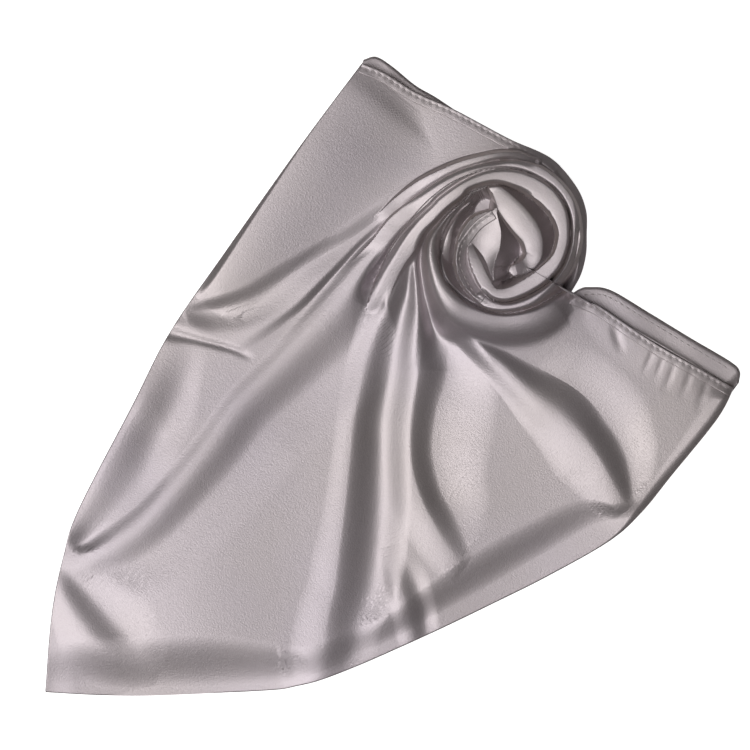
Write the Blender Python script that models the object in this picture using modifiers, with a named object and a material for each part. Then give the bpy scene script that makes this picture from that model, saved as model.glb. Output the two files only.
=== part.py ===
"""A square satin scarf, folded in quarters and laid flat, its loose corner twisted into a rosette.

The scarf is described from the rosette outwards. A bearing is an angle round the rosette's
centre, anticlockwise from +X as seen from above. "Way" is the share of the distance from the
rosette to the edge of the folded scarf: 0 at the rosette, 1 at the edge. Each stretch of cloth
that shows is a wall between two seams, and each seam is a line that leaves the rosette and
swings round to the edge. The hidden layers are one rounded solid below, with a flat underside.
"""

import math

import bmesh
import bpy
import numpy as np
from mathutils import Vector

MM = 0.001

# Cloth
CLOTH = 1.2 * MM
GAP = 0.36 * MM
UNDER_GAP = 0.7 * MM
STEEPEST = 4.0
SMOOTHING = 2
HEM = 5.5 * MM

# Rosette
CENTRE = np.array([69.2, 63.8]) * MM
FLOOR_HEIGHT = 9.0 * MM
FLOOR_INSET = 0.4 * MM

# Hidden layers, one above the other, at the edge
EDGE_LAYER = 0.7 * MM
EDGE_LAYERS = 3
GROOVE_DEPTH = 0.6 * MM
GROOVE_HALF = 0.1 * MM

# Edge of the folded scarf, in millimetres: the two folded sides and the top hem
BOTTOM_FOLD = (
    (192, -7), (182, -25), (157, -56), (122, -93), (87, -113), (28, -142),
    (-19, -163), (-62, -176), (-147, -180), (-195, -178),
)
LEFT_FOLD = (
    (-195, -178), (-191, -133), (-176, -75), (-146, -17), (-125, 24), (-94, 69), (-52, 128),
    (-17, 175),
)
TOP_HEM = (
    (-17, 175), (13, 159), (50, 141), (89, 122), (103, 107), (109, 93), (109, 68), (100, 46),
)

# Radius of the opening that the rosette's rings stand in, by bearing
OPENING = (
    (-31, 34), (-26, 31), (-8, 31.5), (17, 36), (30, 40), (45, 44.4), (58, 48.7), (74, 52.6),
    (89, 55.5), (103, 58), (124, 59.5), (140, 59), (157, 57), (170, 55), (185, 52), (200, 49),
    (216, 44), (237, 38), (260, 35), (280, 34), (299, 33.5), (313, 34), (329, 34),
)

# Bearing of each seam at these shares of the way from the rosette to the edge
WAYS = (0.0, 0.05, 0.1, 0.2, 0.35, 0.6, 0.89)
SEAMS = {
    "wall_end": (-28.5, -28.5, -28.5, -28.5, -28.5, -28.5, -28.5),
    "wall": (60, 60, 60, 60, 60, 60, 60),
    "corner": (118, 119.5, 121, 123, 125, 127, 127.8),
    "crease_high": (143, 158, 170, 186, 199, 208, 212),
    "crease_long": (165, 180, 191, 202, 210.5, 214.5, 222.5),
    "crease_mid": (178, 192, 200, 212, 226, 239, 245),
    "crease_deep": (205, 211, 221, 231.5, 240.5, 250, 259),
    "crease_lobe": (225, 233, 246, 270, 284, 297, 299),
    "stitch": (318, 321, 323.5, 325.5, 325.8, 326.4, 327.8),
    "edge": (330, 330, 330, 330, 330, 330, 330),
}

# Height of the cloth along the seams, by way
EDGE_HEIGHT = 3.6
SEAM_HEIGHTS = ((0, 17), (0.1, 13), (0.25, 8.5), (0.6, 7), (0.88, 7), (1, EDGE_HEIGHT))

# One row for each stretch: name, its two seams, columns, and its section, which is the lift
# above the seams at shares of the way across: (across, lift at rosette, halfway, at edge)
STRETCHES = (
    ("outer_wall", "wall_end", "wall", 8, ((0, 5, 2, 0), (1, 5, 3, 0))),
    ("upper_stretch", "wall", "corner", 6, ((0, 5, 3, 0), (0.5, 5, 1, 0), (1, 6, 0, 0))),
    (
        "left_stretch", "corner", "crease_high", 7,
        ((0, 6, 0, 0), (0.5, 5, -1, 0), (0.72, 4, -1, 0), (0.88, 7, 2.5, 0), (1, 1, 0, 0)),
    ),
    (
        "long_fold_stretch", "crease_high", "crease_long", 5,
        ((0, 1, 0, 0), (0.45, 7, 6, 1), (1, 0, 0, 0)),
    ),
    (
        "corner_stretch", "crease_long", "crease_mid", 8,
        ((0, 0, 0, 0), (0.25, 4, 0, 0), (0.7, 8, 2.5, 0), (0.82, 8, 6, 1), (1, 4, 0, 0)),
    ),
    (
        "middle_fold_stretch", "crease_mid", "crease_deep", 5,
        ((0, 4, 0, 0), (0.5, 8, 7, 1), (1, -4, 0, 0)),
    ),
    (
        "lower_stretch", "crease_deep", "crease_lobe", 8,
        ((0, -4, 0, 0), (0.3, -3, 0, 0), (0.6, 4, 3, 0), (0.75, 7, 7, 0), (1, 6, 0, 0)),
    ),
    (
        "right_stretch", "crease_lobe", "stitch", 7,
        ((0, 6, 0, 0), (0.3, 6, 2, 1), (1, -4, -3, 0)),
    ),
    ("right_hem", "stitch", "edge", 1, ((0, -4, -3, 0), (1, -5, -3.5, 0))),
)
TOP_HEMMED = ("outer_wall", "upper_stretch")
LEAST_SINE = 0.2
ROW_WAYS = (0.0, 0.025, 0.055, 0.1, 0.17, 0.28, 0.42, 0.58, 0.74, 0.89, 1.0)

# The rosette's rings, one row for each stretch, in millimetres: its course along the crest,
# half its width and the height of its crest
RINGS = {
    "ring_outer": (
        ((47, 114), (57, 117), (70, 115), (83, 111), (93, 102), (98, 93), (101, 82),
         (99, 70), (95, 59), (87, 49), (78, 41.8), (68, 39)),
        2.0, 26.0,
    ),
    "ring_main": (
        ((33, 98), (41, 105), (51, 110), (61, 111), (74, 108), (83, 102), (91, 93), (93, 82),
         (90, 70), (84, 60), (75, 51), (64, 47)),
        2.4, 28.0,
    ),
    "rim_stretch": (
        ((89, 42), (83, 38), (74, 34.5), (64, 33), (51, 35), (38, 41), (28, 49), (22, 60),
         (20, 73), (22.5, 82)),
        3.0, 24.0,
    ),
    "side_stretch": (
        ((47, 100.5), (40, 95), (33, 85), (29.5, 73), (28.8, 64)),
        2.4, 21.0,
    ),
    "inner_stretch": (
        ((60, 104), (65, 98.5), (72, 90), (77, 79), (77.6, 69.5), (73, 60.5), (65.5, 56)),
        3.6, 25.0,
    ),
}
RING_STATIONS = {"ring_outer": 22, "ring_main": 22, "rim_stretch": 18, "side_stretch": 8,
                 "inner_stretch": 12}

# Section of a ring: share of its half width, share of the drop from crest to rosette floor
ARCH = ((-1.0, 1.0), (-1.0, 0.3), (-0.7, 0.08), (0.0, 0.0), (0.7, 0.08), (1.0, 0.3), (1.0, 1.0))

# The tongue: the hemmed corner that ends in the middle of the rosette, between its two edges
TONGUE_OUTER = ((56.5, 91.5), (44.5, 84), (37.5, 74), (35.8, 66), (37, 58), (43.5, 48), (53, 41))
TONGUE_INNER = ((58, 91), (61.5, 83), (61.8, 74), (58, 66.5), (56, 60), (56.2, 52), (57, 44.5))
TONGUE_HEIGHT = 24.0 * MM
TONGUE_SAG = 3.0 * MM
TONGUE_STATIONS = 12

# Back layers that show past the front hems: the course of their silhouette, in millimetres
BACK_RIGHT = (
    (106, 48.5), (111, 49.5), (123, 48), (145, 35), (168, 21), (190, 8), (196, 1), (194.5, -5),
)
BACK_TOP = ((-16, 178.5), (-8, 179.5), (1, 173), (14, 163.5), (33, 153))
BACK_TOP_SHARE = 0.32
BACK_HEIGHT = 2.2 * MM
BACK_GAP = 0.5 * MM
BACK_STATIONS = 12

SATIN = (0.47, 0.42, 0.44, 1.0)
SATIN_DARK = (0.36, 0.32, 0.335, 1.0)


def clear_scene():
    for obj in list(bpy.data.objects):
        bpy.data.objects.remove(obj)


def material_for(name, colour):
    material = bpy.data.materials.new(name + "_satin")
    material.use_nodes = True
    shader = material.node_tree.nodes["Principled BSDF"]
    shader.inputs["Base Color"].default_value = colour
    shader.inputs["Roughness"].default_value = 0.4
    shader.inputs["Metallic"].default_value = 0.0
    return material


def add_object(name, bm, collection, colour=SATIN):
    """Makes an object of the mesh, with a material of its own."""
    mesh = bpy.data.meshes.new(name)
    bm.to_mesh(mesh)
    bm.free()
    mesh.shade_smooth()
    mesh.materials.append(material_for(name, colour))
    obj = bpy.data.objects.new(name, mesh)
    collection.objects.link(obj)
    return obj


def smooth_course(points, count):
    """This many places, evenly spaced, on a smooth curve through the points."""
    p = np.array(points, float) * MM
    p = np.vstack([2 * p[0] - p[1], p, 2 * p[-1] - p[-2]])
    fine = []
    for a, b, c, d in zip(p[:-3], p[1:-2], p[2:-1], p[3:]):
        for t in np.linspace(0, 1, 16, endpoint=False):
            fine.append(
                0.5 * (2 * b + (c - a) * t + (2 * a - 5 * b + 4 * c - d) * t**2
                       + (3 * b - a - 3 * c + d) * t**3)
            )
    fine = np.array(fine + [p[-2]])
    run = np.concatenate([[0], np.cumsum(np.linalg.norm(np.diff(fine, axis=0), axis=1))])
    at = np.linspace(0, run[-1], count)
    return np.stack([np.interp(at, run, fine[:, k]) for k in range(2)], axis=1)


def polar_edge():
    """Bearings and reaches of the folded scarf's edge, from the wall's end round to the hem."""
    sides = [smooth_course(side, 60) for side in (BOTTOM_FOLD, LEFT_FOLD, TOP_HEM)]
    edge = np.vstack(sides) - CENTRE
    bearing = np.degrees(np.unwrap(np.arctan2(edge[:, 1], edge[:, 0])))
    bearing += 360 * round((330 - bearing[0]) / 360)
    order = np.argsort(bearing)
    return bearing[order], np.hypot(edge[:, 0], edge[:, 1])[order]


EDGE_BEARING, EDGE_REACH = polar_edge()
OPENING_BEARING = np.array([row[0] for row in OPENING])
OPENING_REACH = np.array([row[1] for row in OPENING]) * MM


def seam_bearing(name, way):
    return np.interp(way, WAYS, SEAMS[name])


def lift_of(section, across, way):
    """Height above the seams, from the rows of a section."""
    shares = [row[0] for row in section]
    lifts = [
        np.interp(across, shares, [row[column] for row in section]) for column in (1, 2, 3)
    ]
    return np.interp(way, (0.0, 0.45, 1.0), lifts) * MM


def column_of(first, second, across, section):
    """One column of a stretch from the rosette to the edge: an array of points."""
    ways = np.array(ROW_WAYS)
    bearing = (1 - across) * seam_bearing(first, ways) + across * seam_bearing(second, ways)
    start = np.interp(bearing[0], OPENING_BEARING, OPENING_REACH)
    end = np.interp(bearing, EDGE_BEARING, EDGE_REACH)
    hem = np.minimum(HEM, 0.4 * (end - start))
    radius = start + (end - hem - start) * ways / ways[-2]
    radius[-1] = end[-1]
    angle = np.radians(bearing)
    height = np.interp(ways, *zip(*SEAM_HEIGHTS)) * MM
    height += [lift_of(section, across, way) for way in ways]
    return np.stack(
        [CENTRE[0] + radius * np.cos(angle), CENTRE[1] + radius * np.sin(angle), height], axis=1
    )


def lay_out():
    """All columns of cloth, from the outer wall round to the right hem, and each stretch's place."""
    columns = []
    places = {}
    for name, first, second, count, section in STRETCHES:
        shares = np.linspace(0, 1, count + 1)
        found = [column_of(first, second, share, section) for share in shares]
        start = max(len(columns) - 1, 0)
        columns += found[1:] if columns else found
        places[name] = slice(start, len(columns))
    return np.array(columns), places


def steepness(points):
    """How much longer than its normal thickness a wall is when measured straight down."""
    along = np.gradient(points, axis=1)
    across = np.gradient(points, axis=0)
    normal = np.cross(along, across)
    upright = np.abs(normal[..., 2]) / np.maximum(np.linalg.norm(normal, axis=2), 1e-12)
    found = np.minimum(1 / np.maximum(upright, 1e-3), STEEPEST)
    for _ in range(SMOOTHING):
        found[1:-1] = found[1:-1] / 2 + (found[:-2] + found[2:]) / 4
        found[:, 1:-1] = found[:, 1:-1] / 2 + (found[:, :-2] + found[:, 2:]) / 4
    found[:, -1] = 1
    return found


def grid_mesh(points):
    """A mesh of the points' columns and rows, started from a flat grid."""
    columns, rows = points.shape[:2]
    bm = bmesh.new()
    bmesh.ops.create_grid(bm, x_segments=rows - 1, y_segments=columns - 1, size=0.5)
    for vert in bm.verts:
        row = round((vert.co.x + 0.5) * (rows - 1))
        column = round((vert.co.y + 0.5) * (columns - 1))
        vert.co = points[column, row]
    bmesh.ops.triangulate(bm, faces=bm.faces, quad_method="FIXED")
    return bm


def face_outwards(bm):
    bmesh.ops.recalc_face_normals(bm, faces=bm.faces)
    if bm.calc_volume(signed=True) < 0:
        bmesh.ops.reverse_faces(bm, faces=bm.faces)


def wall_mesh(top, bottom):
    """A closed wall between two sheets of the same columns and rows."""
    bm = grid_mesh(top)
    under = grid_mesh(bottom)
    places = [vert.co.copy() for vert in under.verts]
    under.free()
    drop = bm.verts.layers.float_vector.new("drop")
    for vert, place in zip(bm.verts, places):
        vert[drop] = place - vert.co
    made = bmesh.ops.extrude_face_region(bm, geom=bm.faces[:])
    for vert in made["geom"]:
        if isinstance(vert, bmesh.types.BMVert):
            vert.co += vert[drop]
    bm.verts.layers.float_vector.remove(drop)
    bmesh.ops.triangulate(bm, faces=bm.faces, quad_method="FIXED")
    face_outwards(bm)
    return bm


def gap_share(step, along):
    """How far to go along each step, as a share of it, to open half a gap at a seam."""
    length = np.linalg.norm(step, axis=1)
    turn = np.linalg.norm(np.cross(step, along), axis=1)
    sine = turn / (length * np.linalg.norm(along, axis=1))
    return (GAP / 2 / (length * np.maximum(sine, LEAST_SINE)))[:, None]


def narrowed(top, bottom):
    """The two sheets with their outer columns moved in, to leave a gap at each seam."""
    top, bottom = top.copy(), bottom.copy()
    for outer, inner in ((0, 1), (-1, -2)):
        share = gap_share(top[inner] - top[outer], np.gradient(top[outer], axis=0))
        for sheet in (top, bottom):
            sheet[outer] += (sheet[inner] - sheet[outer]) * share
    return top, bottom


def ended_early(top, bottom):
    """The two sheets with their last row moved back, to leave a gap where the hem starts."""
    share = 2 * gap_share(top[:, -2] - top[:, -1], np.gradient(top[:, -1], axis=0))
    ended = []
    for sheet in (top, bottom):
        kept = sheet.copy()
        kept[:, -1] += (kept[:, -2] - kept[:, -1]) * share
        ended.append(kept)
    return ended


def below(points, distance):
    """The points moved straight down, to lie that far under the sheet along its normal."""
    moved = points.copy()
    height = moved[..., 2] - distance * steepness(points)
    moved[..., 2] = np.maximum(height, EDGE_HEIGHT * MM - distance)
    return moved


def make_stretches(columns, places, collection):
    """The stretches of cloth between the rosette and the edge, and the hem along the top."""
    under = below(columns, CLOTH)
    for name, place in places.items():
        top, bottom = columns[place], under[place]
        if name in TOP_HEMMED:
            top, bottom = ended_early(top[:, :-1], bottom[:, :-1])
        add_object(name, wall_mesh(*narrowed(top, bottom)), collection)
    place = slice(places[TOP_HEMMED[0]].start, places[TOP_HEMMED[-1]].stop)
    hem = wall_mesh(*narrowed(columns[place, -2:], under[place, -2:]))
    add_object("top_hem", hem, collection)


def lies_on(profile, edge):
    """Whether both ends of the edge are points of the profile."""
    return all(np.abs(profile - np.array(v.co)).max(axis=1).min() < 1e-6 for v in edge.verts)


def make_under_layers(columns, collection):
    """The hidden layers: one rounded solid, flat below, with the layers' edges at its side."""
    top = below(columns, CLOTH + UNDER_GAP)
    count = len(top)
    outward = top[:, 0, :2] - CENTRE
    outward /= np.linalg.norm(outward, axis=1, keepdims=True)
    floor = top[:, 0].copy()
    floor[:, :2] -= outward * FLOOR_INSET
    floor[:, 2] = FLOOR_HEIGHT
    rim = top[:, -1]
    outward = rim[:, :2] - CENTRE
    outward /= np.linalg.norm(outward, axis=1, keepdims=True)
    side = []
    for layer in range(EDGE_LAYERS - 1, 0, -1):
        height = EDGE_LAYER * layer
        side += [(height + GROOVE_HALF, 0), (height, GROOVE_DEPTH), (height - GROOVE_HALF, 0)]
    rings = []
    for height, inset in side + [(0, 0)]:
        ring = np.column_stack([rim[:, :2] - outward * inset, np.full(count, height)])
        rings.append(ring)
    top_centre = np.tile([*CENTRE, FLOOR_HEIGHT], (count, 1))
    bottom_centre = np.tile([*CENTRE, 0], (count, 1))
    rows = [top_centre, floor, *top.transpose(1, 0, 2), *rings, bottom_centre]
    points = np.stack(rows, axis=1)
    bm = grid_mesh(points)
    bmesh.ops.remove_doubles(bm, verts=bm.verts, dist=1e-6)
    axis = [vert for vert in bm.verts if (vert.co.xy - Vector(CENTRE)).length < 1e-6]
    bm.edges.new(axis)
    for profile in (points[0], points[-1]):
        loop = [edge for edge in bm.edges if not edge.is_manifold and lies_on(profile, edge)]
        bmesh.ops.triangle_fill(bm, edges=loop, use_dissolve=False)
    face_outwards(bm)
    add_object("under_layers", bm, collection, SATIN_DARK)


def add_shell(name, points, thickness, collection):
    """An object of the points as an open surface, given its thickness by Solidify."""
    bm = grid_mesh(points)
    obj = add_object(name, bm, collection)
    solidify = obj.modifiers.new("cloth", "SOLIDIFY")
    solidify.thickness = thickness
    solidify.offset = -1.0
    return obj


def make_rings(collection):
    """The standing stretches of the rosette: arches of cloth along their crests."""
    for name, (course, half_width, crest) in RINGS.items():
        line = smooth_course(course, RING_STATIONS[name])
        ahead = np.gradient(line, axis=0)
        ahead /= np.linalg.norm(ahead, axis=1, keepdims=True)
        sideways = np.stack([ahead[:, 1], -ahead[:, 0]], axis=1)
        foot = FLOOR_HEIGHT + GAP
        sections = []
        for share, drop in ARCH:
            place = line + sideways * share * half_width * MM
            height = np.full(len(line), crest * MM - (crest * MM - foot) * drop)
            sections.append(np.column_stack([place, height]))
        add_shell(name, np.array(sections)[::-1], 0.9 * MM, collection)


def make_tongue(collection):
    """The hemmed corner in the middle: a leaf between two edges, with a skirt down each side."""
    outer = smooth_course(TONGUE_OUTER, TONGUE_STATIONS)
    inner = smooth_course(TONGUE_INNER, TONGUE_STATIONS)
    foot = FLOOR_HEIGHT + GAP
    sections = [np.column_stack([outer, np.full(len(outer), foot)])]
    for share in (0.0, 0.3, 0.65, 1.0):
        height = TONGUE_HEIGHT - TONGUE_SAG * math.sin(math.pi * share) - 2 * MM * share
        place = outer + (inner - outer) * share
        sections.append(np.column_stack([place, np.full(len(outer), height)]))
    sections.append(np.column_stack([inner, np.full(len(outer), foot)]))
    points = np.array(sections)
    add_shell("tongue_stretch", points[::-1], 0.5 * CLOTH, collection)
    hem = points[1:3, 1:-1].copy()
    hem[..., 2] += GAP + CLOTH
    add_shell("tongue_hem", hem[::-1], CLOTH, collection)


def resampled(line, count):
    """This many places, evenly spaced, along the line."""
    run = np.concatenate([[0], np.cumsum(np.linalg.norm(np.diff(line, axis=0), axis=1))])
    at = np.linspace(0, run[-1], count)
    return np.stack([np.interp(at, run, line[:, k]) for k in range(2)], axis=1)


def moved_out(line, distance):
    """The line moved that far to its left."""
    ahead = np.gradient(line, axis=0)
    ahead /= np.linalg.norm(ahead, axis=1, keepdims=True)
    return line + np.stack([-ahead[:, 1], ahead[:, 0]], axis=1) * distance


def make_back_layer(name, near, outer, collection):
    """A strip of the layers below that shows past a front hem, lying on the surface."""
    near = moved_out(resampled(near, BACK_STATIONS), BACK_GAP)
    far = smooth_course(outer, BACK_STATIONS)
    sections = [
        np.column_stack([near + (far - near) * share, np.full(len(far), BACK_HEIGHT)])
        for share in (0.0, 0.5, 1.0)
    ]
    top = np.array(sections).transpose(1, 0, 2)
    add_object(name, wall_mesh(top, top * (1, 1, 0)), collection)


def make_back_layers(columns, collection):
    right_edge = columns[-1, 2:, :2]
    make_back_layer("back_layer_right", right_edge, BACK_RIGHT, collection)
    top_edge = smooth_course(TOP_HEM, 60)
    top_edge = top_edge[: round(len(top_edge) * BACK_TOP_SHARE)]
    make_back_layer("back_layer_top", top_edge, BACK_TOP, collection)


def main():
    clear_scene()
    collection = bpy.data.collections.new("square_scarf")
    bpy.context.scene.collection.children.link(collection)
    columns, places = lay_out()
    make_under_layers(columns, collection)
    make_stretches(columns, places, collection)
    make_rings(collection)
    make_tongue(collection)
    make_back_layers(columns, collection)


main()
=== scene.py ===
"""Looks of a square satin scarf, folded in quarters and laid flat, one corner a rosette."""

import bmesh
import bpy
import numpy as np
from mathutils import Matrix, Vector


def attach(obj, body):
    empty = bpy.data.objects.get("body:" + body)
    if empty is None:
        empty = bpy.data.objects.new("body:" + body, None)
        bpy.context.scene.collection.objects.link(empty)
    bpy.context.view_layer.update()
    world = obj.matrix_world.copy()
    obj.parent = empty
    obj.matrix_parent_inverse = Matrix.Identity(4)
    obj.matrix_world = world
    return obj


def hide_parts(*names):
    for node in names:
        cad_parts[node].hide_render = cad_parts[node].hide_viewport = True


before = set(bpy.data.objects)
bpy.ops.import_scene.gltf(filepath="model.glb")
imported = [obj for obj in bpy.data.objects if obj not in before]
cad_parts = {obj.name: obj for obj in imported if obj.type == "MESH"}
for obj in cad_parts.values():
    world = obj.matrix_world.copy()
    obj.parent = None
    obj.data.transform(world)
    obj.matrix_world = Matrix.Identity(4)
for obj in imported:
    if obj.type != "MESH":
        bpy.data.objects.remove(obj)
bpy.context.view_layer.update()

bl_info = {
    "name": "Folded satin scarf with rosette",
    "version": (1, 0, 0),
    "blender": (4, 5, 0),
    "location": "View3D > Sidebar > Scarf",
    "description": "Builds the cloth, hems, stitches and stage of a folded satin scarf",
    "category": "Object",
}

MM = 0.001

# All tables are in millimetres, seen from above, with +X to the right and +Y away.

CENTRE = (69.2, 63.8)

# Edge of the folded scarf: x, y, depth of the roll at the edge, its width, how soft it is,
# how far the cloth sinks toward the edge, and widths of the low rim and of the slope inside it
BOTTOM_FOLD = (
    (192, -7, 3, 3, 0.1, 0, 0, 6), (182, -25, 4.6, 5.2, 0.1, 0, 0, 6),
    (157, -56, 4.6, 5.6, 0.1, 0, 0, 6), (140, -77, 3, 4, 0.1, 1.5, 0, 10),
    (122, -93, 1, 1, 0, 3.2, 12, 17), (87, -113, 1, 0.8, 0, 4.2, 12, 20),
    (57, -128, 1, 0.8, 0, 4.2, 10, 20), (28, -142, 1, 0.8, 0, 3.6, 8, 17),
    (6, -152, 1, 0.8, 0, 2.8, 6, 14), (-19, -163, 1, 0.8, 0, 2.6, 5, 15),
    (-40, -171, 1, 0.8, 0, 2, 4, 16), (-54, -174.6, 1, 0.8, 0, 3.6, 4, 20),
    (-66, -176.7, 1, 0.8, 0, 5, 4.5, 23), (-100, -178.5, 1, 0.8, 0, 6.8, 4.5, 29),
    (-140, -180, 1, 0.8, 0, 6.6, 4.5, 29), (-168, -179.5, 1, 0.8, 0, 4.6, 5, 27),
    (-195, -178, 1, 0.8, 0, 2.6, 4, 22),
)
LEFT_FOLD = (
    (-195, -178, 1, 0.8, 0, 0.6, 3, 14), (-191, -133, 0.6, 0.6, 0, 0, 2, 10),
    (-184.5, -101, 0.6, 0.6, 0, 0, 0, 6), (-176, -75, 0.6, 0.6, 0, 0, 0, 6),
    (-146, -17, 0.6, 0.6, 0, 0, 0, 6), (-125, 24, 0.6, 0.6, 0, 0, 0, 6),
    (-94, 69, 0.6, 0.6, 0, 0, 0, 6), (-52, 128, 0.6, 0.6, 0, 0, 0, 6),
    (-17, 175, 0.6, 0.6, 0, 0, 0, 8),
)
TOP_HEM = (
    (-17, 175, 0.8, 0.8, 0, -0.3, 3, 34), (-4, 169.5, 0.8, 1, 0, -0.5, 3, 36),
    (13, 159, 0.8, 1, 0, -0.8, 3, 36), (33, 150, 0.8, 1, 0, -0.8, 3, 32),
    (50, 141, 0.8, 1, 0, -0.5, 3, 24), (67, 132, 1, 1.5, 0, 0, 2, 14),
    (89, 122, 4, 3.5, 0.3, 1, 0, 8), (103, 107, 8, 6, 0.6, 0, 0, 4),
    (109, 93, 9, 7.5, 0.6, 0, 0, 4), (109.4, 79, 9, 8, 0.6, 0, 0, 4),
    (109, 68, 9, 8, 0.6, 0, 0, 4),
    (106, 56.5, 7, 7, 0.6, 0, 0, 4), (100, 46, 2, 4, 0.6, 0, 0, 4),
)
RIGHT_HEM = (
    (100, 46, 2, 3, 0.3, 0, 0, 4), (108, 42.5, 1, 1, 0, 0, 2, 9),
    (117, 38.5, 0.8, 1, 0, -0.5, 2, 14),
    (134, 27, 0.8, 1, 0, -0.6, 3, 18), (151, 16, 0.8, 1, 0, -0.6, 3, 18),
    (168, 6.5, 0.8, 1, 0, -0.5, 3, 16), (192, -7, 1.5, 1.5, 0, 2, 2, 6),
)

# Radius of the opening that the rosette stands in, by bearing round its centre
OPENING = (
    (-31, 34), (-26, 31), (-8, 31.5), (17, 36), (30, 40), (45, 44.4), (58, 48.7), (74, 52.6),
    (89, 55.5), (103, 58), (124, 59.5), (140, 59), (157, 57), (170, 55), (185, 52), (200, 49),
    (216, 44), (237, 38), (260, 35), (280, 34), (299, 33.5), (313, 34), (331, 34),
)

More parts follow.
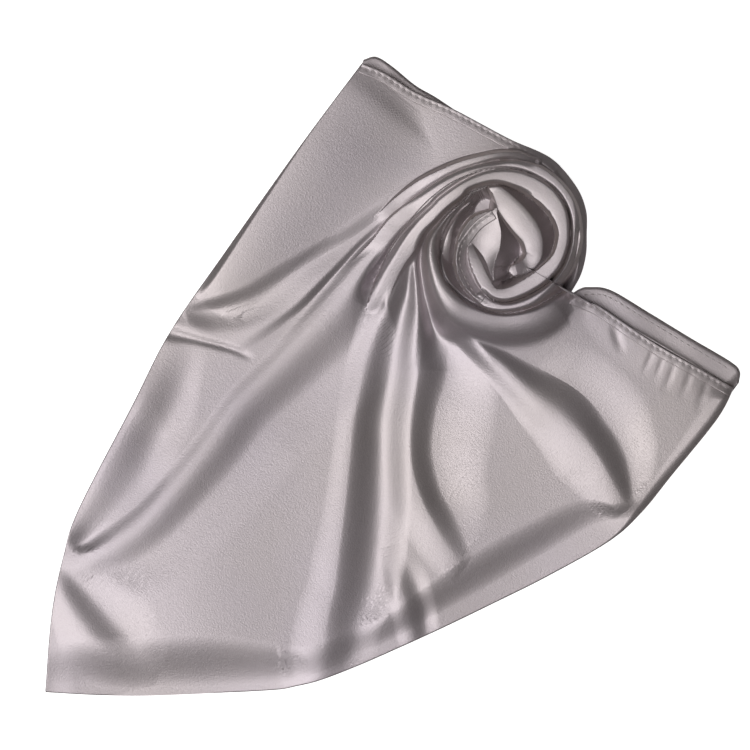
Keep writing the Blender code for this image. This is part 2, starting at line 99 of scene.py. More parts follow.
# Folds, each from its far end to the rosette: x, y, rise to the crest on its left, width of that
# rise, drop on its right, width of the drop, how early the drop comes, width of the way back up
FOLDS = {
    "left_edge": (
        (-108, 42.5, 0, 4, 0, 20, 0, 10), (-99, 53.5, 2.6, 4, 2.6, 34, 0, 10),
        (-80, 83, 4.8, 4, 4.8, 58, 0, 10), (-52, 125.5, 6.4, 4, 6.4, 72, 0, 10),
        (-29, 159.5, 5.4, 4, 5.4, 64, 0, 10), (-18, 174, 3.4, 4, 3.4, 44, 0, 10),
    ),
    "left_low": (
        (-185.5, -95.5, 0, 12, 0, 7, 0, 6), (-182, -88.5, 1, 12, 2.4, 10, 0.3, 8),
        (-173, -74.5, 1, 12, 1.6, 14, 0.2, 10), (-160.5, -51, 1.6, 12, 2.6, 20, 0.3, 14),
        (-148, -28, 1.4, 12, 2.6, 18, 0.3, 14), (-140, -14, 1.6, 12, 2.4, 18, 0.3, 14),
        (-130.5, 6, 0.5, 12, 1, 16, 0, 10), (-120.5, 24.5, 0, 12, 0, 12, 0, 8),
    ),
    "left_corner": (
        (-132, -171, 0, 10, 0, 12, 0, 14), (-150, -164.5, 0.9, 16, 1.5, 16, 0, 20),
        (-165, -153, 1.6, 18, 2.6, 17, 0, 22), (-176.5, -137.5, 1.5, 14, 2.5, 15, 0.1, 20),
        (-185, -122, 0.9, 8, 1.7, 11, 0.2, 16), (-188.5, -109.5, 0, 5, 0, 6, 0, 8),
    ),
    "left_panel": (
        (-117, 41.5, 0, 8, 0.6, 6, 0, 8), (-108, 43.5, 0, 10, 1.7, 7.5, 0, 12),
        (-98.5, 46, 0, 10, 1.8, 8.5, 0, 14), (-82.5, 52, 0, 10, 1.4, 9, -0.1, 17),
        (-66, 62.5, 0, 10, 1.3, 9, -0.2, 18), (-52, 70.5, 0, 10, 1.4, 8.5, -0.2, 16),
        (-29, 83.5, 0, 10, 1.7, 8, -0.3, 14), (-7, 98.5, 0, 10, 1.9, 7.5, -0.3, 12),
        (16, 113, 0, 8, 2, 7, -0.3, 9), (38, 123.5, 0, 7, 2.2, 6, -0.3, 6),
        (55, 128, 0, 6, 1.8, 5, -0.3, 4), (72, 129, 0, 5, 0, 4, 0, 3),
    ),
    "upper": (
        (-94, 13, 0, 8, 0, 5, 0, 6), (-77, 25.5, 0.6, 10, 0.7, 7, 0, 7),
        (-63, 35.5, 0.9, 12, 1.3, 6.5, 0, 7), (-53.5, 42.5, 1.1, 13, 1.7, 5.5, -0.2, 6),
        (-43.5, 52, 1.2, 13, 2, 4.6, -0.3, 6), (-32, 63.5, 1.2, 12, 2, 4, -0.3, 6),
        (-21, 75, 1.2, 11, 2, 3.6, -0.3, 6), (-9.5, 85, 1.2, 9, 2, 3.4, -0.3, 6),
        (4.5, 96, 1.2, 8, 2, 3.2, -0.3, 5), (27, 111, 1.2, 6, 2, 3, -0.3, 4),
        (49.5, 120.5, 0, 5, 0, 2.6, -0.3, 4),
    ),
    "long": (
        (-185.5, -105, 0, 6, 0, 8, 0, 8), (-175.5, -104, 0.6, 8, 0.6, 10, 0, 12),
        (-164, -98.5, 1.2, 9, 1.6, 13, 0, 16), (-152, -91.5, 1.4, 9, 2.3, 16, 0, 20),
        (-133.5, -76, 1.4, 8.5, 2.6, 17, 0, 24), (-105, -42, 1.4, 8.5, 2.8, 19, 0, 26),
        (-85.5, -15.5, 1.4, 8.5, 2.9, 20, 0, 28), (-63, 7, 1.4, 8.5, 3.1, 22, 0, 28),
        (-40.5, 30.5, 1.5, 9, 3.3, 24, 0, 26), (-29, 42.5, 1.6, 11, 3.8, 20, -0.2, 20),
        (-21, 53.5, 1.7, 12, 4.8, 11, -0.5, 11), (-13.5, 64, 1.7, 12, 5.4, 7, -0.6, 6),
        (-7, 71.5, 1.7, 11, 5.4, 5, -0.6, 4), (0, 79.5, 1.7, 9, 5, 4, -0.6, 4),
        (7.5, 87.5, 1.7, 8, 4, 3, -0.5, 4), (18.5, 97, 1.5, 6, 3, 3, -0.4, 4),
        (32.5, 106.5, 0, 5, 0, 3, 0, 4),
    ),
    "middle": (
        (-44, -170, 0.6, 12, 0.5, 10, 0, 10), (-39.5, -158, 1.4, 18, 1.6, 16, 0.1, 12),
        (-36, -134.5, 1.2, 17, 2.8, 17, 0.3, 14), (-32.5, -119.5, 1, 15, 3.8, 19, 0.3, 16),
        (-30.5, -104, 0.9, 14, 4.4, 20, 0.3, 18), (-27, -75.5, 0.7, 11, 4.7, 19, 0.3, 18),
        (-23.5, -42, 0.7, 9.5, 4.5, 16.5, 0.3, 18), (-21.5, -24, 0.7, 9, 4.2, 15, 0.3, 18),
        (-17.5, -1.5, 0.8, 9, 4, 15, 0.2, 17), (-14, 14.5, 1, 9, 4, 14, 0.1, 15),
        (-7, 34, 1.6, 10, 4.3, 11, 0.1, 12), (0.5, 51, 2, 10, 4.6, 9, 0.1, 8),
        (10, 69, 2.2, 9, 5.5, 7, 0.2, 6), (18, 80.5, 2.2, 7, 6, 5, 0.3, 5),
        (27, 91.5, 0, 5, 0, 3, 0.3, 4),
    ),
    "lower": (
        (41.5, -107, 0, 10, 0, 8, 0, 12), (35.5, -102.5, 0.8, 13, 0.8, 9, 0.2, 14),
        (29, -93, 1.2, 15, 1.6, 11, 0.3, 18), (23, -82.5, 1.4, 16, 2.6, 12, 0.4, 24),
        (17, -71, 1.3, 17, 3.3, 11.5, 0.4, 28), (12, -56, 1.2, 16, 3.5, 12, 0.4, 32),
        (9.5, -39, 1.2, 15, 3.6, 12.5, 0.3, 34), (11, -16.5, 1.2, 15, 3.9, 14, 0.3, 34),
        (14, 0.5, 1.2, 15, 4.4, 16, 0.3, 30), (16.5, 17, 1.3, 14, 5.2, 15, 0.3, 22),
        (18, 34, 1.4, 11, 6.4, 9, 0.3, 9), (18.5, 48, 1.2, 9, 7, 6, 0.2, 5),
        (18.5, 60.5, 0, 7, 4, 4, 0, 4), (18.5, 68, 0, 6, 0, 4, 0, 4),
    ),
    "lobe": (
        (132, -75.5, 0, 10, 0, 6, 0, 8), (127.5, -69.5, 1.2, 14, 1.6, 8, 0, 12),
        (121.5, -57, 2.2, 20, 3.6, 12, 0.2, 18), (116.5, -47.5, 2.6, 23, 4.4, 14, 0.3, 22),
        (109.5, -38.5, 2.8, 24, 4.6, 15.5, 0.1, 26), (95.5, -24.5, 2.8, 20, 4.4, 17, -0.4, 26),
        (83, -15, 2.8, 16, 4.2, 16, -0.4, 24), (72, -5.5, 2.6, 12, 4, 13, -0.1, 20),
        (61, 5, 2.2, 9.5, 3, 9, 0, 16), (49.5, 14.5, 2, 7.5, 2.2, 6, 0, 12),
        (41.5, 21, 1.6, 6, 1.4, 4, 0, 8), (36, 26, 0, 5, 0, 4, 0, 8),
    ),
    "thin": (
        (12.5, -154.5, 0, 5, 0, 8, 0, 8), (10, -146.5, 0.6, 7, 1.2, 9, 0, 8),
        (7, -132, 0.8, 7, 1.7, 10, 0, 8), (3, -119.5, 0.8, 6, 1.4, 10, 0, 8),
        (-0.5, -107, 0.5, 6, 0.5, 9, 0, 8), (-3.5, -95.5, 0, 6, 0, 8, 0, 8),
    ),
    "right_edge": (
        (139.5, -74.5, 0, 8, 0, 6, 0, 4), (152, -66.5, 1, 9, 0.5, 6, 0, 4),
        (167.5, -48.5, 1.6, 11, 0.5, 6, 0, 4), (182, -28, 1.6, 11, 0.5, 6, 0, 4),
        (191, -14, 0.7, 9, 0.5, 6, 0, 4), (193.5, -9.5, 0, 9, 0, 6, 0, 4),
    ),
}

# Creases: x, y, depth, width
CREASES = {
    "pucker_1": ((123.5, 30, 0, 2.6), (126, 22, 0.45, 2.6), (129.5, 11, 0, 2.6)),
    "pucker_2": ((147, 16, 0, 1.7), (144.5, 9.5, 0.22, 1.7), (140, 0, 0, 1.7)),
    "pucker_3": ((152.5, 12, 0, 1.6), (150.5, 6, 0.2, 1.6), (146.5, -4, 0, 1.6)),
    "pucker_4": ((159, 9, 0, 2), (156.5, 1, 0.26, 2), (152, -10, 0, 2)),
    "pucker_5": ((168.5, 4, 0, 2.2), (166, -2.5, 0.24, 2.2), (161.5, -15, 0, 2.2)),
    "pucker_6": ((177.5, -2.5, 0, 2.4), (175, -9, 0.28, 2.4), (170.5, -22, 0, 2.4)),
    "side": (
        (-123, 23.5, 1.2, 3.4), (-109, 20, 0.8, 2.2), (-90, 15, 0.7, 2), (-77, 9, 0, 2),
    ),
    "upper": (
        (4.5, 93.8, 0, 1.4), (15.8, 101.5, 0.8, 1.2), (27, 108.9, 1, 1.1), (38.2, 114.5, 1.1, 1),
        (49.5, 117.9, 1.6, 1), (56, 119.3, 3, 1.2), (64, 120.6, 3.4, 1.2), (71, 120, 1.6, 1.2),
        (80, 117, 0, 1.2),
    ),
    "long": (
        (-17, 40, 0, 3.4), (-12.5, 51, 2.4, 2.8), (-7, 60.5, 4.4, 2.2), (-1, 69.5, 4.5, 1.9),
        (4.5, 77.5, 4, 1.6), (10, 84, 3, 1.4), (15.5, 89.5, 2, 1.2), (21.5, 95, 1.6, 1.1),
        (27, 100.5, 1.6, 1.1), (38.2, 108.2, 1.6, 1), (49.5, 113.4, 1.6, 1), (60.8, 115.4, 1.6, 1),
        (72, 114.3, 1.7, 0.9), (83, 109.6, 2.2, 0.8), (92, 102.5, 3.4, 0.8), (98, 92, 5, 0.8),
        (99.6, 80, 6, 0.9), (98.4, 70, 7, 0.9), (93.8, 59.3, 8, 1), (85.8, 51, 8, 1),
        (74.5, 44.2, 8, 1), (64, 41.2, 7, 0.9), (56, 43, 4, 0.8), (50, 48.5, 0, 0.8),
    ),
    "divide": (
        (22, 3, 0, 8), (22.6, 22, 4, 6), (21.5, 34.6, 7, 4.4), (18.4, 48, 9, 3.2),
        (16.3, 65, 9, 2.4), (18.6, 76.8, 8, 1.8), (24.8, 84.9, 7, 1.3), (32, 92.7, 7, 1.1),
        (39.4, 98.6, 7, 1), (44.4, 103.8, 7, 1), (57.4, 107.3, 7, 1), (68.6, 104.6, 6, 1),
        (78, 100, 0, 1.3),
    ),
    "rim": (
        (104, 80, 2, 1.2), (103, 70, 4, 1.6), (101, 61, 7, 2.4), (97, 53, 9, 3),
        (90.5, 45.8, 8, 2.2), (79, 38.6, 7, 1.2), (66.4, 35.4, 7, 1), (55.1, 36, 7, 0.9),
        (43.9, 40.4, 6, 0.9), (35.4, 47, 5, 0.8), (29.8, 53.7, 4, 0.8), (27, 62.2, 4, 0.8),
        (27, 70.6, 4, 0.8), (29.6, 80, 4, 0.8), (35.5, 89.5, 4, 0.8), (43, 97.5, 2, 0.8),
        (47, 101, 0, 0.8),
    ),
}

# The rosette's strips: x, y, height of the crest, width outside it and inside it
STRIPS = {
    "upper_ring": (
        (-14, 82, 6.5, 2.6, 2.6), (-4, 90, 11, 3.4, 3.4), (4.5, 97.3, 15.6, 3.8, 3.8),
        (16, 105.8, 20.4, 3.5, 3.5), (27, 111.9, 22.6, 3, 3), (38, 117, 23.6, 2.5, 2.5),
        (49.5, 120.4, 24, 2.2, 2.2), (60, 122.6, 23.4, 2, 2), (70, 122.6, 21, 2, 2),
        (80, 119.5, 16, 2, 2),
    ),
    "outer_ring": (
        (-18, 58, 9, 8, 8), (-7, 70.5, 12, 7, 6.5), (-1, 79, 15, 6.5, 6), (5, 86, 18.4, 6, 5.5),
        (15.7, 95.4, 23.4, 5, 4.5), (27, 104.2, 25.6, 4.2, 4), (38, 110.7, 26.2, 3.5, 3.2),
        (49, 115.2, 26.2, 2.6, 2.6), (61, 117.8, 25.5, 2.4, 2.4), (72, 117, 25.5, 2.6, 2.6),
        (84, 112.2, 25.5, 2.8, 2.6), (94, 103.5, 25.5, 2.8, 2.4), (100, 93.5, 25.5, 2.8, 2),
        (102.3, 82, 25.5, 2.8, 1.9), (102, 74, 25.5, 2.8, 1.8), (98.3, 62, 25.5, 3, 2.2),
        (90, 50.5, 25.5, 3, 2.6), (78.5, 42.6, 25, 3, 2.8), (66.5, 38.4, 24.5, 2.6, 2.6),
        (55.5, 39, 24, 2.4, 2.4), (49.5, 43, 23, 2.2, 2.2),
    ),
    "main_ring": (
        (-11, 34, 7.6, 4.4, 5.4), (-7.5, 44, 11.3, 5, 6), (-3.5, 54, 14, 5, 6),
        (2, 65, 17.5, 5.5, 6),
        (9.5, 76, 21.5, 6, 6.5), (18.5, 87.5, 25, 6.2, 6.2), (27, 96.2, 27, 6, 5.6),
        (37, 104.4, 28, 5, 4.6), (49.5, 110.2, 28, 4, 4.2), (61, 112, 28, 3.6, 5),
        (74, 110, 28, 3.4, 7), (85, 104.5, 28, 3.4, 8), (93, 95.5, 28, 3.4, 7),
        (96.5, 84, 28, 3, 4.8), (96.8, 76, 28, 2.8, 4.4), (93.8, 65, 28, 2.8, 5),
        (86.3, 56, 27.5, 3, 6), (77.5, 49.6, 27, 2.8, 6), (68.5, 45.2, 26.6, 2.6, 5.4),
        (60.5, 44, 26.4, 2.6, 4.6), (55, 46.6, 26.2, 3, 3.8), (50.6, 54.5, 25.6, 3.6, 3.4),
        (47.2, 62, 24.8, 3.4, 3.2), (45.2, 67, 23.8, 2.6, 2.6), (44, 71, 22.6, 1.6, 1.8),
        (43.4, 74, 21, 0.8, 1),
    ),
    "rim": (
        (99, 44.2, 12, 9, 3), (94, 42.2, 16, 11, 3), (88.9, 39.6, 18.6, 13, 3),
        (77.6, 34.6, 20, 14, 2.6),
        (60.8, 33.2, 20.6, 14, 2.6), (44.5, 36.6, 22, 13, 3.4), (34, 42, 23.5, 10, 4.4),
        (26.8, 50.5, 24, 6.4, 5), (22.6, 61, 24, 3.8, 4.4), (21.2, 71, 23.5, 2.8, 3.6),
        (23.4, 80, 22.5, 2.2, 2.6), (30, 89.5, 21.5, 1.8, 2), (40, 99.5, 21, 1.6, 1.8),
        (49, 105, 20, 1.5, 1.5),
    ),
    "side": (
        (46, 103.6, 15, 2, 2.2), (40, 97.6, 18, 2.3, 2.6), (35.2, 90.8, 19.5, 2.5, 3),
        (32, 83, 19.5, 2.5, 3.4), (30.6, 74.5, 18.5, 2.4, 3.2), (29.8, 67, 15, 2.2, 2.6),
        (30, 61, 10, 2, 2),
    ),
    "inner": (
        (58.5, 104.8, 23, 2, 4), (66, 97.5, 25, 3, 9), (74, 88.8, 26, 3.4, 10.5),
        (79.3, 80.7, 26, 3.4, 9.5), (81, 73, 25.5, 3.4, 7.5), (80, 66, 25, 3.4, 6),
        (75, 60.8, 22, 3.4, 4.4), (69.5, 59, 15, 3, 3.4),
    ),
}
# Each strip's arch, how steeply its outer side falls, and the softness of its foot
ROUND = {
    "upper_ring": (0.08, 5, 0.5), "outer_ring": (0.06, 6, 0.3), "main_ring": (0.07, 8, 0.3),
    "rim": (0.5, 1.2, 1.6), "side": (0.3, 0, 0.4), "inner": (0.12, 0, 0.3),
}

# The tongue: x, y and height along its middle, half its width, and sag between its edges
TONGUE = (
    (57.5, 92, 24, 1, 0), (53.2, 84.5, 24, 8.5, 1), (49.3, 75.5, 24, 11.5, 2.2),
    (47, 66.5, 23.5, 11, 4), (46.8, 58.5, 23.5, 10, 5), (50.2, 49.5, 23.5, 7.5, 4),
    (55, 42.5, 23, 3.5, 1),
)
TONGUE_EDGE = (
    (56.8, 93.1), (49.5, 88.6), (44.4, 84.1), (40.5, 79), (37.1, 74), (35.4, 66.7), (36, 60.5),
    (40, 51), (44.4, 44.7), (49.5, 40.6),
)

# Silhouette of the back layers past the front hems, and the stitch line of the right one
BACK_TOP = (
    (-16, 177.6), (-9, 179.2), (0, 173.8), (13, 163.2), (24, 156.8), (35, 149.5),
)
BACK_RIGHT = (
    (101, 46), (106, 49), (111, 49.8), (123, 48), (145, 35), (168, 21), (190, 8), (195.4, 2.5),
    (195, -4),
)

PANEL = 8.5  # height of the panel
LIFT = 0.01  # how much it rises toward +X, for each millimetre
SWELL = 4.0  # how much higher it stands at the rosette
SWELL_REACH = 24.0  # how far that rise reaches out
FLOOR = 5.0  # bottom of the opening inside the rosette
LOWEST = 2.2  # the lowest that the top layer comes
DISC = 60.0  # radius where the rosette's own sheet ends
HEM_START = 33.5  # radius from which the right hem has an edge of its own
STITCH_RISE = 0.34  # height of a stitch's middle over the cloth
STITCH_STEP = 0.5  # step of the points that the stitches are set on
HEM_STEP = 0.55  # step of the points along a hem band


def smooth_rows(rows, step=1.0):
    """Rows on a smooth curve through the given rows, about a step apart."""
    p = np.array(rows, float)
    p = np.vstack([2 * p[0] - p[1], p, 2 * p[-1] - p[-2]])
    t = np.linspace(0, 1, 16, endpoint=False)[:, None]
    fine = [
        0.5 * (2 * b + (c - a) * t + (2 * a - 5 * b + 4 * c - d) * t**2
               + (3 * b - a - 3 * c + d) * t**3)
        for a, b, c, d in zip(p[:-3], p[1:-2], p[2:-1], p[3:])
    ]
    fine = np.vstack(fine + [p[-2:-1]])
    run = np.concatenate([[0], np.cumsum(np.hypot(*np.diff(fine[:, :2], axis=0).T))])
    at = np.linspace(0, run[-1], int(run[-1] / step) + 2)
    return np.stack([np.interp(at, run, column) for column in fine.T], axis=1)


class Course:
    """A smooth line over the cloth, with values along it."""

    def __init__(self, rows, reach):
        self.rows = smooth_rows(rows)
        slope = np.gradient(self.rows[:, :2], axis=0)
        self.tangent = slope / np.hypot(*slope.T)[:, None]
        self.reach = reach

    def near(self, x, y):
        """Distance from the line, positive on its left, the line's values there, and how far
        the place lies on the side turned from the window, from -1 to 1."""
        line_x, line_y = self.rows[:, 0], self.rows[:, 1]
        index = np.empty(len(x), int)
        for start in range(0, len(x), 20000):
            part = slice(start, start + 20000)
            away = (x[part, None] - line_x[::4]) ** 2 + (y[part, None] - line_y[::4]) ** 2
            close = away.argmin(axis=1)[:, None] * 4 + np.arange(-4, 5)
            close = np.clip(close, 0, len(line_x) - 1)
            away = (x[part, None] - line_x[close]) ** 2 + (y[part, None] - line_y[close]) ** 2
            index[part] = close[np.arange(len(close)), away.argmin(axis=1)]
        dx, dy = x - line_x[index], y - line_y[index]
        tx, ty = self.tangent[index].T
        side, along = tx * dy - ty * dx, tx * dx + ty * dy
        past = np.sign(along) * np.maximum(np.abs(along) - 0.8, 0)
        spot = np.clip(index + along - past, 0, len(line_x) - 1)
        low = np.minimum(spot.astype(int), len(line_x) - 2)
        share = (spot - low)[:, None]
        values = self.rows[low, 2:] * (1 - share) + self.rows[low + 1, 2:] * share
        lee = (0.93 * dx + 0.37 * dy) / np.maximum(np.hypot(dx, dy), 0.3)
        return np.where(side < 0, -1, 1) * np.hypot(side, past), (*values.T, lee)

    def around(self, x, y):
        """Which places lie within the line's reach."""
        lo = self.rows[:, :2].min(axis=0) - self.reach
        hi = self.rows[:, :2].max(axis=0) + self.reach
        return (x > lo[0]) & (x < hi[0]) & (y > lo[1]) & (y < hi[1])


def ease(t):
    """Goes smoothly from 0 to 1 as t does."""
    t = np.clip(t, 0, 1)
    return t * t * (3 - 2 * t)


def higher(a, b, blend=0.7):
    """The higher of two surfaces, with a rounded valley between them."""
    return np.maximum(a, b) + blend * np.log1p(np.exp(-np.abs(a - b) / blend))


EDGE_LINES = [Course(rows, reach=40) for rows in (BOTTOM_FOLD, LEFT_FOLD, TOP_HEM, RIGHT_HEM)]
FOLD_LINES = [
    Course(rows, reach=max(max(row[3], row[5] + row[7]) for row in rows)) for rows in FOLDS.values()
]
CREASE_LINES = [Course(rows, reach=40) for rows in CREASES.values()]
STRIP_LINES = [(Course(rows, reach=24), ROUND[name]) for name, rows in STRIPS.items()]
TONGUE_LINE = Course(TONGUE, reach=24)


def polar(x, y):
    """Bearing from -30 to 330 degrees and radius round the rosette's centre."""
    dx, dy = x - CENTRE[0], y - CENTRE[1]
    return (np.degrees(np.arctan2(dy, dx)) + 30) % 360 - 30, np.hypot(dx, dy)


def steepness(lee):
    """How steeply an edge falls: sheer toward the window, slanting on the side turned from it."""
    return 2.0 + 9.0 * (1 - ease((lee + 1) / 1.6))


def strip_surface(side, crest, outside, inside, lee, arch, fall):
    """A rounded strip: an arch across its crest that falls away steeply past its widths."""
    width = np.where(side > 0, outside, inside)
    u = np.abs(side) / width
    top = crest - arch * width * (1 - np.sqrt(1 - np.clip(u, 0, 0.95) ** 2)) / 0.69
    fall = np.where((side > 0) & (fall > 0), fall, steepness(lee))
    return top - np.maximum(u - 0.95, 0) * width * fall


def tongue_surface(side, level, half, sag, lee):
    """The tongue: it sags between its edges and falls away past them."""
    u = np.abs(side) / np.maximum(half, 0.5)
    top = level - sag * (1 - np.clip(u, 0, 1) ** 2)
    return top - np.maximum(u - 1, 0) * half * 0.8 * steepness(lee)


def fold_height(side, values):
    """A fold: a slope up to its crest, a drop past it, and a way back up to the panel."""
    rise, left, drop, right, early, back, _ = values
    away = np.hypot(side, 0.9) - 0.9
    up = np.clip(away / left, 0, 1)
    down = np.clip(away / right, 0, 1)
    lean = np.where(early > 0, 1 - (1 - down) ** 2, down**2)
    drop = drop * (ease(down) * (1 - np.abs(early)) + lean * np.abs(early))
    past = ease((away - right) / back)
    return np.where(
        side > 0, rise * (1 - 0.75 * ease(up) - 0.25 * up), (rise - drop) * (1 - past)
    )


def cloth_height(x, y):
    """Height of the cloth at each place, in millimetres."""
    bearing, radius = polar(x, y)
    beyond = radius - np.interp(bearing, *np.array(OPENING, float).T)
    height = PANEL + LIFT * x + SWELL * np.exp(-np.maximum(beyond, 0) / SWELL_REACH)
    height += 0.5 * np.sin(x / 31 + y / 47) * np.sin(y / 39 - x / 61 + 1)
    height += 2.5 * np.exp(-((x + 110) ** 2 + (y + 128) ** 2) / 4000)
    for line in FOLD_LINES:
        here = line.around(x, y)
        height[here] += fold_height(*line.near(x[here], y[here]))
    height -= 2.2 * np.maximum(-beyond, 0)
    height = higher(height, LOWEST + (FLOOR - LOWEST) * ease(-beyond / 5))
    for line, (arch, fall, foot) in STRIP_LINES:
        here = line.around(x, y)
        side, values = line.near(x[here], y[here])
        strip = strip_surface(side, *values, arch, fall)
        height[here] = higher(height[here], strip, foot)
    here = TONGUE_LINE.around(x, y)
    side, values = TONGUE_LINE.near(x[here], y[here])
    height[here] = higher(height[here], tongue_surface(side, *values), 0.4)
    for line in CREASE_LINES:
        here = line.around(x, y)
        side, (depth, width, _) = line.near(x[here], y[here])
        height[here] -= depth * np.exp(-((side / width) ** 2))
    for line in EDGE_LINES:
        here = line.around(x, y)
        inset, (cut, roll, soft, sink, rim, slope, _) = line.near(x[here], y[here])
        inset = np.abs(inset)
        u = np.clip(inset / roll, 0, 1)
        rolled = (1 - soft) * np.sqrt(1 - (1 - u) ** 2) + soft * ease(u)
        t = np.clip((inset - rim) / slope, 0, 1)
        fall = cut * (1 - rolled) + sink * (1 - 0.75 * ease(t) - 0.25 * t)
        height[here] = np.maximum(height[here] - fall, LOWEST)
    return height


def edge_reach():
    """Bearing and radius of the scarf's edge from the rosette's right side round to the hem."""
    edges = [smooth_rows(part, 0.5)[:, :2] for part in (TOP_HEM, LEFT_FOLD, BOTTOM_FOLD)]
    x, y = np.vstack(edges).T
    bearing, radius = polar(x, y)
    order = np.argsort(bearing)
    return bearing[order], radius[order]


EDGE_BEARING, EDGE_RADIUS = edge_reach()
HEM_BEARING, HEM_RADIUS = polar(*smooth_rows(RIGHT_HEM, 0.5)[:, :2].T)
HEM_BEARING = np.where(HEM_BEARING < 0, HEM_BEARING + 360, HEM_BEARING)


def reach_at(bearing):
    """Radius of the scarf's edge at a bearing."""
    return np.interp(bearing, EDGE_BEARING, EDGE_RADIUS)


def grid_mesh(name, points):
    """A sheet with its vertices at a grid of points, in millimetres, and smooth normals."""
    tall, wide = points.shape[:2]
    bm = bmesh.new()
    bmesh.ops.create_grid(bm, x_segments=wide - 1, y_segments=tall - 1, size=1)
    mesh = bpy.data.meshes.new(name)
    bm.to_mesh(mesh)
    bm.free()
    flat = np.empty(len(mesh.vertices) * 3, np.float32)
    mesh.vertices.foreach_get("co", flat)
    flat = flat.reshape(-1, 3)
    column = np.rint((flat[:, 0] + 1) / 2 * (wide - 1)).astype(int)
    row = np.rint((flat[:, 1] + 1) / 2 * (tall - 1)).astype(int)
    mesh.vertices.foreach_set("co", (points[row, column] * MM).astype(np.float32).ravel())
    mesh.update()
    mesh.shade_smooth()
    return mesh, row, column


def facing(points, laid):
    """Unit normals of a grid of points, from the cloth's own slope over its laid part."""
    normal = np.cross(np.gradient(points, axis=1), np.gradient(points, axis=0))
    tall, wide = laid
    x, y, z = points[:tall, :wide].reshape(-1, 3).T
    slope_x = (cloth_height(x + 0.2, y) - z) / 0.2
    slope_y = (cloth_height(x, y + 0.2) - z) / 0.2
    exact = np.stack([-slope_x, -slope_y, np.ones_like(x)], axis=1).reshape(tall, wide, 3)
    normal[:tall, :wide] = exact
    return normal / np.maximum(np.linalg.norm(normal, axis=2), 1e-9)[:, :, None]


def add_piece(name, mesh, material, replaced=()):
    """Adds a finished piece to the scene under the root, and hides the parts of the model that it
    stands for.
    """
    old = bpy.data.objects.get(name)
    if old is not None:
        raise RuntimeError(f"{name} is already made")
    mesh.materials.append(material)
    piece = bpy.data.objects.new(name, mesh)
    bpy.context.scene.collection.objects.link(piece)
    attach(piece, "root")
    if replaced:
        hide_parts(*replaced)
    return piece


# Roll under the edge: inset, share of the edge's height
SKIRT = ((0.1, 0.85), (0.5, 0.66), (0.25, 0.56), (0.4, 0.4), (0.9, 0.27), (0.6, 0.19), (1.6, 0.07))


def laid_points(bearing, radius):
    """Points of the cloth on a grid of bearings and radii."""
    swing = np.interp(radius, HEM_RADIUS, HEM_BEARING) - 330
    swing = np.where(radius < HEM_RADIUS.min(), 0, swing)
    bearing = np.radians(bearing + swing * np.clip((bearing - 300) / 30, 0, 1.2))
    x = CENTRE[0] + radius * np.cos(bearing)
    y = CENTRE[1] + radius * np.sin(bearing)
    z = cloth_height(x.ravel(), y.ravel()).reshape(x.shape)
    return np.stack([x, y, z], axis=2)


def hang_skirt(points, axis):
    """Adds the roll under the edge past the end of a grid."""
    if axis == 0:
        return hang_skirt(points.swapaxes(0, 1), 1).swapaxes(0, 1)
    inward = points[:, -2, :2] - points[:, -1, :2]
    run = np.gradient(points[:, -1, :2], axis=0)
    along = (inward * run).sum(axis=1) / np.maximum((run * run).sum(axis=1), 1e-12)
    inward = inward - run * along[:, None]
    inward /= np.maximum(np.linalg.norm(inward, axis=1), 1e-9)[:, None]
    rows = [points]
    for inset, share in SKIRT:
        at = points[:, -1, :2] + inward * inset
        rows.append(np.dstack([at[:, None, 0], at[:, None, 1], points[:, -1:, 2] * share]))
    return np.concatenate(rows, axis=1)


def polar_cloth(name, first, last, columns, starts, ends, shares, edged, hemmed):
    """A sheet of the cloth between two bearings, from one radius to another."""
    even = np.linspace(first, last, 2001)
    pace = np.concatenate([[0], np.cumsum(40 + ends(even[1:]))])
    bearing = np.interp(np.linspace(0, pace[-1], columns + 1), pace, even)
    step = bearing[1] - bearing[0]
    bearing = np.concatenate([[first - step], bearing, [] if hemmed else [last + step]])
    before, after = 2 * shares[0] - shares[1], 2 * shares[-1] - shares[-2]
    shares = np.concatenate([[before], shares, [] if edged else [after]])
    start, end = starts(bearing)[:, None], ends(bearing)[:, None]
    radius = np.maximum(start + (end - start) * shares, 0)
    points = laid_points(np.broadcast_to(bearing[:, None], radius.shape), radius)
    laid = points.shape[:2]
    if edged:
        points = hang_skirt(points, 1)
    if hemmed:
        points = hang_skirt(points, 0)
        skirted = np.full(points.shape[1] - radius.shape[1], False)
        inside = np.append(radius[-1] < HEM_START, skirted)
        points[-len(SKIRT):, inside, :2] = points[-len(SKIRT) - 1, inside, :2]
    normals = facing(points, laid)
    rows = slice(1, None if hemmed else -1)
    places = slice(1, None if edged else -1)
    points, normals = points[rows, places], normals[rows, places]
    mesh, row, column = grid_mesh(name, points)
    mesh.normals_split_custom_set_from_vertices(normals[row, column])
    return mesh


def uneven_shares(weights):
    """Shares from 0 to 1 whose steps follow the weights."""
    run = np.concatenate([[0], np.cumsum(weights)])
    return run / run[-1]


class Socket:
    """A socket in a shader, with Python's operators as Math nodes."""

    def __init__(self, shader, socket):
        self.shader, self.socket = shader, socket

    def math(self, operation, *others):
        return self.shader.node("ShaderNodeMath", {"operation": operation}, {
            index: value for index, value in enumerate((self, *others))
        })

    def __add__(self, other):
        return self.math("ADD", other)

    __radd__ = __add__

    def __mul__(self, other):
        return self.math("MULTIPLY", other)

    __rmul__ = __mul__

    def __sub__(self, other):
        return self.math("SUBTRACT", other)

    def __rsub__(self, other):
        return self.shader.node("ShaderNodeMath", {"operation": "SUBTRACT"}, {0: other, 1: self})

    def __truediv__(self, other):
        return self.math("DIVIDE", other)

    def __pow__(self, other):
        return self.math("POWER", other)


